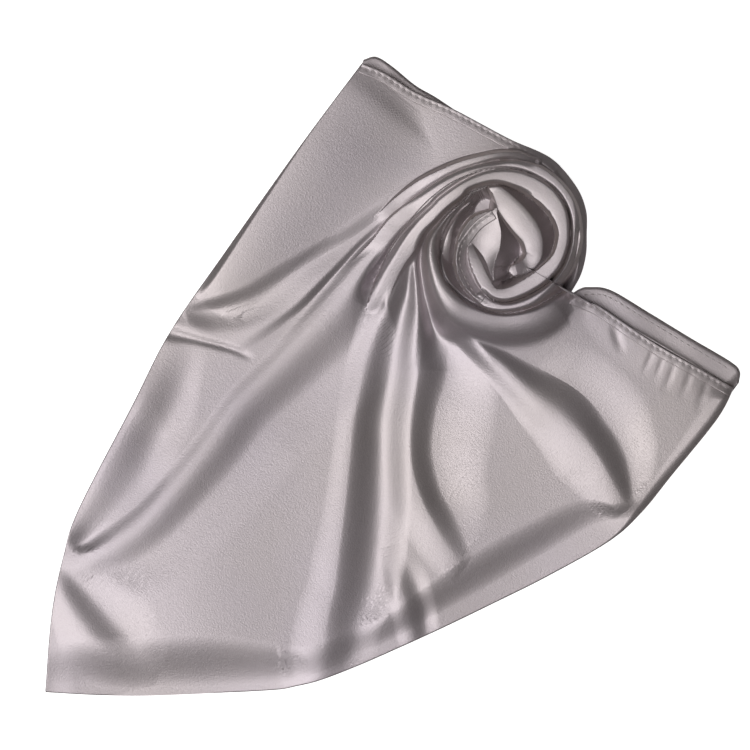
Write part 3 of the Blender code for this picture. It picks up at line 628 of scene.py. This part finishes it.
class Shader:
    """A material's nodes."""

    def __init__(self, name, **constants):
        self.material = bpy.data.materials.new(name)
        self.material.use_nodes = True
        self.tree = self.material.node_tree
        self.surface = self.tree.nodes["Principled BSDF"]
        for socket, value in constants.items():
            self.surface.inputs[socket.replace("_", " ")].default_value = value

    def node(self, kind, settings, sockets, output=0):
        """A node of this type with these settings, and values or links in its sockets."""
        node = self.tree.nodes.new(kind)
        for setting, value in settings.items():
            if setting == "stops":
                ramp = node.color_ramp
                while len(ramp.elements) < len(value):
                    ramp.elements.new(0.5)
                for element, (place, colour) in zip(ramp.elements, value):
                    element.position, element.color = place, colour
            else:
                setattr(node, setting, value)
        for socket, value in sockets.items():
            if isinstance(value, Socket):
                self.tree.links.new(value.socket, node.inputs[socket])
            else:
                node.inputs[socket].default_value = value
        return Socket(self, node.outputs[output])

    def place(self):
        return self.node("ShaderNodeTexCoord", {}, {}, "Object")

    def noise(self, scale, detail=2.0, roughness=0.5, place=None):
        return self.node(
            "ShaderNodeTexNoise", {},
            {"Vector": place or self.place(), "Scale": scale, "Detail": detail,
             "Roughness": roughness},
        )

    def mix(self, share, first, second):
        """A colour between two colours."""
        return self.node(
            "ShaderNodeMix", {"data_type": "RGBA"}, {0: share, 6: first, 7: second}, 2
        )

    def feed(self, **values):
        for socket, value in values.items():
            self.tree.links.new(value.socket, self.surface.inputs[socket.replace("_", " ")])


def satin(name, colours):
    """Crepe satin: a soft sheen over a fine pebbled grain, with faint drifts of tint."""
    shader = Shader(
        name, Metallic=colours.metal, IOR=1.5, Sheen_Weight=0.2, Sheen_Roughness=0.4,
        Sheen_Tint=(1.0, 0.8, 0.72, 1.0),
    )
    drift = shader.noise(9.0, 2.0)
    grain = shader.noise(1100.0, 2.0, 0.6)
    weave = shader.noise(2600.0, 1.0, 0.5)
    tint = shader.mix((drift - 0.35) * 3.0, (*colours.cool, 1.0), (*colours.warm, 1.0))
    shade = shader.mix((grain - 0.3) * 1.6, (0.90, 0.90, 0.90, 1.0), (1.06, 1.06, 1.06, 1.0))
    colour = shader.node(
        "ShaderNodeMix", {"data_type": "RGBA", "blend_type": "MULTIPLY"},
        {0: 1.0, 6: tint, 7: shade}, 2,
    )
    pebbles = grain + weave * 0.5
    bump = shader.node(
        "ShaderNodeBump", {}, {"Strength": 0.5, "Distance": 0.00022, "Height": pebbles}
    )
    shader.feed(Base_Color=colour, Roughness=colours.rough + grain * 0.12, Normal=bump)
    return shader.material


def thread(colours):
    """Spun thread, a little darker than the satin."""
    shader = Shader("scarf_thread", Metallic=0.1, Roughness=0.5, Sheen_Weight=0.2)
    ply = shader.noise(1800.0, 1.0)
    dark = tuple(0.78 * c for c in colours.warm)
    shader.feed(Base_Color=shader.mix(ply, (*dark, 1.0), (*colours.warm, 1.0)))
    return shader.material


class ScarfColours(bpy.types.PropertyGroup):
    """Colours and finish of the satin."""

    cool: bpy.props.FloatVectorProperty(
        name="Cool tint", description="Satin's colour where it drifts to lilac",
        subtype="COLOR", size=3, min=0, max=1, default=(0.50, 0.455, 0.49),
    )
    warm: bpy.props.FloatVectorProperty(
        name="Warm tint", description="Satin's colour where it drifts to silver",
        subtype="COLOR", size=3, min=0, max=1, default=(0.51, 0.465, 0.47),
    )
    metal: bpy.props.FloatProperty(
        name="Lustre", description="How strongly the satin mirrors its own colour",
        default=0.7, min=0, max=1, subtype="FACTOR",
    )
    rough: bpy.props.FloatProperty(
        name="Softness", description="Spread of the sheen", default=0.40, min=0, max=1,
        subtype="FACTOR",
    )


class ScarfSizes(bpy.types.PropertyGroup):
    """Sizes of the hems and stitches."""

    hem: bpy.props.FloatProperty(
        name="Hem", description="Width of the turned hem", default=5.5 * MM,
        unit="LENGTH", subtype="DISTANCE",
    )
    pitch: bpy.props.FloatProperty(
        name="Stitch pitch", description="From one stitch to the next", default=4.1 * MM,
        unit="LENGTH", subtype="DISTANCE",
    )


def materials_for(context):
    """The satin, made once for all the pieces."""
    colours = context.scene.scarf_colours
    found = bpy.data.materials.get("scarf_satin")
    return found or satin("scarf_satin", colours)


class SCARF_OT_panels(bpy.types.Operator):
    """Lay the folded panel round the rosette, with its folds and rolled edges"""

    bl_idname = "scarf.panels"
    bl_label = "Panel"

    def execute(self, context):
        material = materials_for(context)
        shares = uneven_shares(np.concatenate([
            np.linspace(0.5, 1.3, 30), np.full(120, 1.3), np.linspace(1.3, 0.35, 26),
        ]))
        rows = (
            ("upper_cloth", 60.0, 127.8, 200, False, ("upper_stretch",)),
            ("left_cloth", 127.8, 222.5, 440, False, ("left_stretch", "long_fold_stretch")),
            ("lower_cloth", 222.5, 330.0, 500, True,
             ("corner_stretch", "middle_fold_stretch", "lower_stretch", "right_stretch")),
        )
        for name, first, last, columns, hemmed, replaced in rows:
            mesh = polar_cloth(
                name, first, last, columns, disc_reach, reach_at, shares, True, hemmed
            )
            add_piece(name, mesh, material, replaced)
        return {"FINISHED"}


def disc_reach(bearing):
    """Radius where the rosette's sheet meets the panel's."""
    return np.minimum(DISC, 0.9 * reach_at(bearing))


class SCARF_OT_rosette(bpy.types.Operator):
    """Twist the loose corner into the rosette"""

    bl_idname = "scarf.rosette"
    bl_label = "Rosette"

    def execute(self, context):
        material = materials_for(context)
        shares = uneven_shares(np.linspace(1.5, 0.8, 118))
        side = polar_cloth(
            "rosette_side", -30.0, 60.0, 200, np.zeros_like, reach_at, shares, True, False
        )
        add_piece("rosette_side", side, material, ("outer_wall", "ring_outer"))
        disc = polar_cloth(
            "rosette_cloth", 60.0, 330.0, 620, np.zeros_like, disc_reach, shares, False, True
        )
        add_piece(
            "rosette_cloth", disc, material,
            ("ring_main", "rim_stretch", "side_stretch", "inner_stretch", "tongue_stretch"),
        )
        return {"FINISHED"}


def beside(rows, offsets, share=(0, 1), step=0.5):
    """Places beside a line, one row for each offset to its right, and the line's directions."""
    line = smooth_rows(rows, step)[:, :2]
    line = line[int(share[0] * len(line)): int(share[1] * len(line))]
    ahead = np.gradient(line, axis=0)
    ahead /= np.hypot(*ahead.T)[:, None]
    right = np.stack([ahead[:, 1], -ahead[:, 0]], axis=1)
    return line[None] + np.array(offsets)[:, None, None] * right[None], ahead


def solidify(piece, thickness):
    """Gives a sheet its thickness, below its surface."""
    modifier = piece.modifiers.new("thickness", "SOLIDIFY")
    modifier.thickness = thickness
    modifier.offset = -1


def hem_band(name, rows, inward, width, share, pitch):
    """A turned hem: a second thickness of cloth along an edge, puckered by its stitches."""
    across = np.array((0.0, 0.5, 1.2, 1.7, 2.0, 2.3, 2.8, 3.6, 4.4, 5.0, 5.4, 5.6)) * width / 5.6
    at, ahead = beside(rows, inward * across, share, HEM_STEP)
    level, _ = beside(rows, inward * np.clip(across, 0.8, None), share, HEM_STEP)
    height = cloth_height(level[:, :, 0].ravel(), level[:, :, 1].ravel()).reshape(at.shape[:2])
    run = np.arange(at.shape[1]) * HEM_STEP
    pull = np.exp(-((across - 2.0) / 0.9) ** 2)[:, None]
    height += 0.32 - 0.22 * pull * (0.6 + 0.4 * np.cos(2 * np.pi * run / pitch))
    height += 0.1 * np.sin(run / 6.1 + 1) * np.sin(run / 2.7)
    height[0] -= 0.15
    height[-1] -= 0.25
    points = np.dstack([at, height])
    if inward > 0:
        points = points[::-1]
    return grid_mesh(name, points)[0]


def stitch_row(name, rows, inward, inset, share, pitch, level=None):
    """Stitches in line beside an edge."""
    at, ahead = beside(rows, [inward * inset], share, STITCH_STEP)
    at = at[0]
    if level is None:
        height = cloth_height(at[:, 0], at[:, 1]) + STITCH_RISE
    else:
        height = np.full(len(at), level)
    bm = bmesh.new()
    for index in range(4, len(at) - 4, max(1, round(pitch / STITCH_STEP))):
        made = bmesh.ops.create_uvsphere(bm, u_segments=8, v_segments=5, radius=1)
        rise = (height[index + 3] - height[index - 3]) / 3
        forward = Vector((*ahead[index], rise)).normalized()
        aside = Vector((-ahead[index][1], ahead[index][0], 0))
        turn = Matrix((forward, aside, forward.cross(aside))).transposed()
        place = Vector((*at[index], height[index]))
        for vert in made["verts"]:
            size = Vector((vert.co.x * 1.25, vert.co.y * 0.3, vert.co.z * 0.26))
            vert.co = (place + turn @ size) * MM
    mesh = bpy.data.meshes.new(name)
    bm.to_mesh(mesh)
    bm.free()
    mesh.shade_smooth()
    return mesh


def back_sheet(name, edge, front, inset, height, wave):
    """A hidden layer where it shows past the front hem: from its own edge to under the front."""
    outer, _ = beside(edge, [inset])
    inner, _ = beside(front, [5.0])
    count = 220
    ends = []
    for line in (outer[0], inner[0]):
        at = np.linspace(0, len(line) - 1, count)
        ends.append(np.stack([np.interp(at, np.arange(len(line)), c) for c in line.T], axis=1))
    shares = np.array((0, 0.03, 0.08, 0.16, 0.28, 0.42, 0.58, 0.74, 0.88, 1.0))[::-1]
    points = ends[0][None] * (1 - shares)[:, None, None] + ends[1][None] * shares[:, None, None]
    run = np.linspace(0, 1, count)[None]
    level = height * (0.84 + 0.16 * np.sqrt(1 - (1 - np.clip(shares * 14, 0, 1)) ** 2))[:, None]
    level = level + wave * np.sin(run * 17 + 1.3) * np.sin(shares * 3.1)[:, None]
    level = level * (1 - 0.3 * ease((run - 0.93) / 0.07))
    return grid_mesh(name, np.dstack([points, np.broadcast_to(level, points.shape[:2])]))[0]


class SCARF_OT_hems(bpy.types.Operator):
    """Turn the hems of the front layer and of the tongue"""

    bl_idname = "scarf.hems"
    bl_label = "Hems"

    def execute(self, context):
        material = materials_for(context)
        sizes = context.scene.scarf_sizes
        width, pitch = sizes.hem / MM, sizes.pitch / MM
        for name, rows, inward, share, replaced in (
            ("top_hem_band", TOP_HEM, 1, (0.0, 0.62), "top_hem"),
            ("right_hem_band", RIGHT_HEM, 1, (0.02, 1.0), "right_hem"),
            ("tongue_hem_band", TONGUE_EDGE, -1, (0.03, 1.0), "tongue_hem"),
        ):
            mesh = hem_band(name, rows, inward, width, share, pitch)
            piece = add_piece(name, mesh, material, (replaced,))
            solidify(piece, 0.5 * MM)
        return {"FINISHED"}


class SCARF_OT_back_layers(bpy.types.Operator):
    """Show the back layers past the front hems, and close the underside"""

    bl_idname = "scarf.back_layers"
    bl_label = "Back layers"

    def execute(self, context):
        material = materials_for(context)
        for name, edge, front, inset, height, wave, replaced in (
            ("back_right_lower", BACK_RIGHT, RIGHT_HEM, 0.0, 2.6, 0.1, ("back_layer_right",)),
            ("back_right_upper", BACK_RIGHT, RIGHT_HEM, 0.6, 4.9, 0.2, ()),
            ("back_top_lower", BACK_TOP, TOP_HEM[:4], 0.0, 2.6, 0.1, ("back_layer_top",)),
            ("back_top_upper", BACK_TOP, TOP_HEM[:4], 0.6, 4.6, 0.15, ()),
        ):
            mesh = back_sheet(name, edge, front, inset, height, wave)
            piece = add_piece(name, mesh, material, replaced)
            solidify(piece, 1.8 * MM)
        bearing = np.linspace(-30, 330, 721)[:, None]
        shares = np.array((0.0, 0.3, 0.7, 1.0))
        radius = (reach_at(bearing) - 1.6) * shares
        angle = np.radians(bearing)
        points = np.dstack([
            CENTRE[0] + radius * np.cos(angle), CENTRE[1] + radius * np.sin(angle),
            np.full(radius.shape, 0.8),
        ])
        bm = bmesh.new()
        bm.from_mesh(grid_mesh("bottom_layers", points)[0])
        bmesh.ops.remove_doubles(bm, verts=bm.verts, dist=0.01 * MM)
        mesh = bpy.data.meshes.new("bottom_layers")
        bm.to_mesh(mesh)
        bm.free()
        piece = add_piece("bottom_layers", mesh, material, ("under_layers",))
        solidify(piece, 0.8 * MM)
        return {"FINISHED"}


class SCARF_OT_stitches(bpy.types.Operator):
    """Sew the hems"""

    bl_idname = "scarf.stitches"
    bl_label = "Stitches"

    def execute(self, context):
        material = thread(context.scene.scarf_colours)
        pitch = context.scene.scarf_sizes.pitch / MM
        for name, rows, inward, inset, share, level in (
            ("top_stitches", TOP_HEM, 1, 2.1, (0.01, 0.5), None),
            ("right_stitches", RIGHT_HEM, 1, 2.1, (0.04, 0.98), None),
            ("tongue_stitches", TONGUE_EDGE, -1, 2.3, (0.05, 0.97), None),
            ("back_stitches", BACK_RIGHT, 1, 4.2, (0.06, 0.9), 5.0),
        ):
            mesh = stitch_row(name, rows, inward, inset, share, pitch, level)
            add_piece(name, mesh, material)
        return {"FINISHED"}


class SCARF_OT_cuts(bpy.types.Operator):
    """An empty step: it states no flat sizes and changes nothing"""

    bl_idname = "scarf.cuts"
    bl_label = "Cuts"

    def execute(self, context):
        return {"FINISHED"}


class SCARF_OT_stage(bpy.types.Operator):
    """Set out the floor, the soft light and the camera"""

    bl_idname = "scarf.stage"
    bl_label = "Stage"

    def execute(self, context):
        scene = context.scene
        scene.view_settings.view_transform = "Standard"
        bm = bmesh.new()
        bmesh.ops.create_grid(bm, x_segments=1, y_segments=1, size=3)
        mesh = bpy.data.meshes.new("floor")
        bm.to_mesh(mesh)
        bm.free()
        floor = bpy.data.objects.new("floor", mesh)
        scene.collection.objects.link(floor)
        paint = Shader("floor_white", Roughness=0.9, Base_Color=(0.9, 0.9, 0.9, 1.0))
        paint.surface.inputs["Emission Color"].default_value = (1, 1, 1, 1)
        paint.surface.inputs["Emission Strength"].default_value = 0.95
        mesh.materials.append(paint.material)
        floor.visible_glossy = False
        for name, place, size, power, colour in (
            ("window", (-3.0, -1.2, 7.5), 6.0, 440.0, (1.0, 0.985, 0.975)),
            ("fill", (1.3, -0.8, 1.6), 1.6, 0.3, (1.0, 0.96, 0.93)),
        ):
            light = bpy.data.lights.new(name, "AREA")
            light.shape = "DISK"
            light.size = size
            light.energy = power
            light.color = colour
            lamp = bpy.data.objects.new(name, light)
            lamp.location = place
            lamp.rotation_euler = (-Vector(place)).to_track_quat("-Z", "Y").to_euler()
            scene.collection.objects.link(lamp)
        world = bpy.data.worlds.new("studio")
        world.use_nodes = True
        world.node_tree.nodes["Background"].inputs["Color"].default_value = (1, 0.86, 0.8, 1)
        world.node_tree.nodes["Background"].inputs["Strength"].default_value = 0.035
        scene.world = world
        lens = bpy.data.cameras.new("camera")
        lens.lens, lens.sensor_width = 250, 36
        lens.clip_start, lens.clip_end = 0.1, 20
        camera = bpy.data.objects.new("camera", lens)
        camera.location = (-9.6 * MM, 0.3 * MM, 421.9 * MM / (36 / 250))
        scene.collection.objects.link(camera)
        scene.camera = camera
        return {"FINISHED"}


class SCARF_PT_panel(bpy.types.Panel):
    """The scarf's pieces, sizes and colours"""

    bl_label = "Satin scarf"
    bl_space_type = "VIEW_3D"
    bl_region_type = "UI"
    bl_category = "Scarf"

    def draw(self, context):
        layout = self.layout
        for group in (context.scene.scarf_sizes, context.scene.scarf_colours):
            for name in group.__annotations__:
                layout.prop(group, name)
        for operator in OPERATORS:
            layout.operator(operator.bl_idname)


OPERATORS = (
    SCARF_OT_panels, SCARF_OT_rosette, SCARF_OT_hems, SCARF_OT_back_layers, SCARF_OT_stitches,
    SCARF_OT_cuts, SCARF_OT_stage,
)
GROUPS = (ScarfSizes, ScarfColours)


def register():
    """Register the scarf's sizes, operators and panel."""
    for made in GROUPS + OPERATORS + (SCARF_PT_panel,):
        bpy.utils.register_class(made)
    bpy.types.Scene.scarf_sizes = bpy.props.PointerProperty(type=ScarfSizes)
    bpy.types.Scene.scarf_colours = bpy.props.PointerProperty(type=ScarfColours)


def unregister():
    """Take them away again."""
    del bpy.types.Scene.scarf_sizes
    del bpy.types.Scene.scarf_colours
    for made in reversed(GROUPS + OPERATORS + (SCARF_PT_panel,)):
        bpy.utils.unregister_class(made)


def main():
    """Make the scarf piece by piece, then set out the stage."""
    register()
    bpy.ops.scarf.panels()
    bpy.ops.scarf.rosette()
    bpy.ops.scarf.hems()
    bpy.ops.scarf.back_layers()
    bpy.ops.scarf.stitches()
    bpy.ops.scarf.cuts()
    bpy.ops.scarf.stage()


if __name__ == "__main__":
    main()
